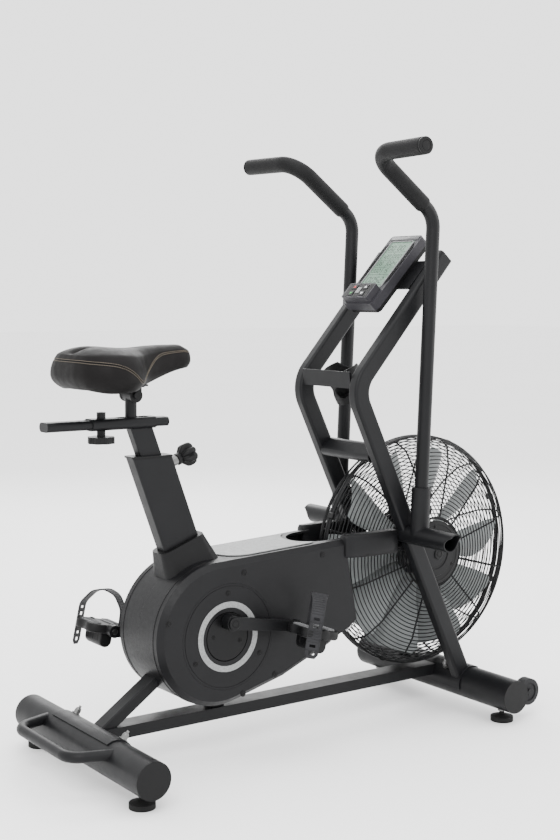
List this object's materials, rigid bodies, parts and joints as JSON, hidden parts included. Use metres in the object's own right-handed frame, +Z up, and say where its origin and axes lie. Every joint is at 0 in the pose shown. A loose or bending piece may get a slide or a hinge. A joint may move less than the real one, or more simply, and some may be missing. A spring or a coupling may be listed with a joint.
{
  "type": "air bike",
  "caption": "Upright exercise bike braked by a caged fan, with swinging hand arms, pedals, adjustable saddle, small console and floor stabilisers.",
  "frame": {"origin": "centre of the outer box at floor level", "axes": "+X from the saddle to the fan, +Y to the rider's left, +Z up"},
  "size_m": [1.3069, 0.67, 1.3495],
  "materials": {
    "frame_paint": "satin charcoal powder coat",
    "black_plastic": "fine-grained black moulding",
    "housing_plastic": "dark grey satin moulding",
    "dark_disc": "semi-gloss dark grey",
    "light_trim": "stippled light grey",
    "foot_rubber": "moulded rubber",
    "wheel_rubber": "hard dark tread",
    "zinc_steel": "zinc plated",
    "crank_steel": "satin black forging",
    "pulley_metal": "turned aluminium",
    "dark_steel": "black oxide",
    "blade_metal": "light grey coat",
    "cage_wire": "dark coated wire",
    "belt_rubber": "ribbed belt",
    "grip_foam": "soft foam",
    "strap_rubber": "moulded strap",
    "saddle_leather": "grained synthetic leather, pale stitching",
    "console_plastic": "mid grey moulding",
    "screen_glass": "greenish grey liquid crystal display",
    "key_red": "dark key with red face",
    "key_green": "dark key with green face",
    "key_grey": "dark key"
  },
  "bodies": {
    "frame": {"bearings": "zinc_steel", "bottle_holder": "black_plastic", "console_back": "black_plastic", "console_case": "console_plastic", "console_screen": "screen_glass", "drive_belt": "belt_rubber", "drive_covers": "black_plastic", "fan_cage": "cage_wire", "frame_fasteners": "zinc_steel", "front_frame": "frame_paint", "front_stabiliser": "frame_paint", "housing_left": "housing_plastic", "housing_right": "housing_plastic", "hub_plates": "housing_plastic", "light_trims": "light_trim", "main_frame": "frame_paint", "rear_stabiliser": "frame_paint", "seat_tube": "frame_paint", "seat_tube_bush": "black_plastic", "seat_tube_cowl": "black_plastic", "side_covers": "housing_plastic", "stabiliser_end_caps": "black_plastic"},
    "crankset": {"crank_shaft": "zinc_steel", "drive_pulley": "pulley_metal", "crank_arm_right": "crank_steel", "crank_arm_left": "crank_steel", "crank_discs": "dark_disc", "pedal_axles": "zinc_steel"},
    "pedal_right": {"pedal_right": "black_plastic", "pedal_strap_right": "strap_rubber"},
    "pedal_left": {"pedal_left": "black_plastic", "pedal_strap_left": "strap_rubber"},
    "arm_right": {"arm_pivot_right": "frame_paint", "hand_arm_right": "frame_paint", "hand_grip_right": "grip_foam"},
    "arm_left": {"arm_pivot_left": "frame_paint", "hand_arm_left": "frame_paint", "hand_grip_left": "grip_foam"},
    "rod_right": {"link_rod_right": "dark_steel"},
    "rod_left": {"link_rod_left": "dark_steel"},
    "fan": {"fan_axle": "zinc_steel", "fan_hub": "pulley_metal", "fan_blades": "blade_metal"},
    "seat_post": {"seat_post": "frame_paint", "rail_sleeve": "frame_paint"},
    "rail": {"saddle_rail": "frame_paint"},
    "saddle": {"saddle_cushion": "saddle_leather", "saddle_clamp": "dark_steel"},
    "rail_knob": {"rail_knob": "black_plastic"},
    "pull_pin": {"pull_pin_knob": "black_plastic"},
    "wheel_right": {"transport_wheel_right": "wheel_rubber"},
    "wheel_left": {"transport_wheel_left": "wheel_rubber"},
    "foot_rear_right": {"foot_rear_right": "foot_rubber"},
    "foot_rear_left": {"foot_rear_left": "foot_rubber"},
    "foot_front_right": {"foot_front_right": "foot_rubber"},
    "foot_front_left": {"foot_front_left": "foot_rubber"},
    "button_red": {"button_red": "key_red"},
    "button_green": {"button_green": "key_green"},
    "button_up": {"button_up": "key_grey"},
    "button_down": {"button_down": "key_grey"}
  },
  "joints": [
    {"name": "crank_spin", "type": "hinge", "parent": "frame", "child": "crankset", "pos_m": [-0.2455, 0, 0.272], "axis": [0, 1, 0], "continuous": true},
    {"name": "fan_spin", "type": "hinge", "parent": "frame", "child": "fan", "pos_m": [0.3655, 0, 0.388], "axis": [0, 1, 0], "continuous": true},
    {"name": "pedal_right_spin", "type": "hinge", "parent": "crankset", "child": "pedal_right", "pos_m": [-0.07783, -0.176, 0.27794], "axis": [0, 1, 0], "continuous": true},
    {"name": "arm_right_swing", "type": "hinge", "parent": "frame", "child": "arm_right", "pos_m": [0.2505, -0.15, 0.452], "axis": [0, 1, 0], "range_deg": [-16, 16]},
    {"name": "rod_right_pin", "type": "hinge", "parent": "arm_right", "child": "rod_right", "pos_m": [0.2565, -0.0845, 0.418], "axis": [0, 1, 0], "range_deg": [-17, 17]},
    {"name": "wheel_right_roll", "type": "hinge", "parent": "frame", "child": "wheel_right", "pos_m": [0.5225, -0.235, 0.06], "axis": [0, 1, 0], "continuous": true},
    {"name": "foot_rear_right_turn", "type": "hinge", "parent": "frame", "child": "foot_rear_right", "pos_m": [-0.5375, -0.229, 0], "axis": [0, 0, 1], "continuous": true},
    {"name": "foot_front_right_turn", "type": "hinge", "parent": "frame", "child": "foot_front_right", "pos_m": [0.4485, -0.229, 0], "axis": [0, 0, 1], "continuous": true},
    {"name": "pedal_left_spin", "type": "hinge", "parent": "crankset", "child": "pedal_left", "pos_m": [-0.41317, 0.176, 0.26606], "axis": [0, 1, 0], "continuous": true},
    {"name": "arm_left_swing", "type": "hinge", "parent": "frame", "child": "arm_left", "pos_m": [0.2505, 0.15, 0.452], "axis": [0, 1, 0], "range_deg": [-16, 16]},
    {"name": "rod_left_pin", "type": "hinge", "parent": "arm_left", "child": "rod_left", "pos_m": [0.2565, 0.0845, 0.418], "axis": [0, 1, 0], "range_deg": [-17, 17]},
    {"name": "wheel_left_roll", "type": "hinge", "parent": "frame", "child": "wheel_left", "pos_m": [0.5225, 0.235, 0.06], "axis": [0, 1, 0], "continuous": true},
    {"name": "foot_rear_left_turn", "type": "hinge", "parent": "frame", "child": "foot_rear_left", "pos_m": [-0.5375, 0.229, 0], "axis": [0, 0, 1], "continuous": true},
    {"name": "foot_front_left_turn", "type": "hinge", "parent": "frame", "child": "foot_front_left", "pos_m": [0.4485, 0.229, 0], "axis": [0, 0, 1], "continuous": true},
    {"name": "seat_height", "type": "slide", "parent": "frame", "child": "seat_post", "axis": [-0.3486, 0, 0.9373], "range_m": [-0.045, 0.1]},
    {"name": "saddle_fore_aft", "type": "slide", "parent": "seat_post", "child": "rail", "axis": [1, 0, 0], "range_m": [-0.024, 0.024]},
    {"name": "saddle_tilt", "type": "hinge", "parent": "rail", "child": "saddle", "pos_m": [-0.4315, 0, 0.8], "axis": [0, 1, 0], "range_deg": [-8, 8]},
    {"name": "rail_knob_turn", "type": "hinge", "parent": "seat_post", "child": "rail_knob", "pos_m": [-0.5025, 0, 0.715], "axis": [0, 0, 1], "continuous": true},
    {"name": "pull_pin_slide", "type": "slide", "parent": "frame", "child": "pull_pin", "axis": [0.9373, 0, 0.3486], "range_m": [0, 0.01], "stiffness_N_per_m": 600, "springref_m": -0.003},
    {"name": "button_red_press", "type": "slide", "parent": "frame", "child": "button_red", "axis": [0.7254, 0, -0.6884], "range_m": [0, 0.001], "stiffness_N_per_m": 800, "springref_m": -0.0003},
    {"name": "button_green_press", "type": "slide", "parent": "frame", "child": "button_green", "axis": [0.7254, 0, -0.6884], "range_m": [0, 0.001], "stiffness_N_per_m": 800, "springref_m": -0.0003},
    {"name": "button_up_press", "type": "slide", "parent": "frame", "child": "button_up", "axis": [0.7254, 0, -0.6884], "range_m": [0, 0.001], "stiffness_N_per_m": 800, "springref_m": -0.0003},
    {"name": "button_down_press", "type": "slide", "parent": "frame", "child": "button_down", "axis": [0.7254, 0, -0.6884], "range_m": [0, 0.001], "stiffness_N_per_m": 800, "springref_m": -0.0003}
  ],
  "couplings": [
    {"joint": "fan_spin", "follows": "crank_spin", "ratio": 4.381},
    {"joint": "arm_left_swing", "follows": "arm_right_swing", "ratio": -1},
    {"joint": "rod_right_pin", "follows": "arm_right_swing", "ratio": -1},
    {"joint": "rod_left_pin", "follows": "arm_right_swing", "ratio": 1}
  ]
}
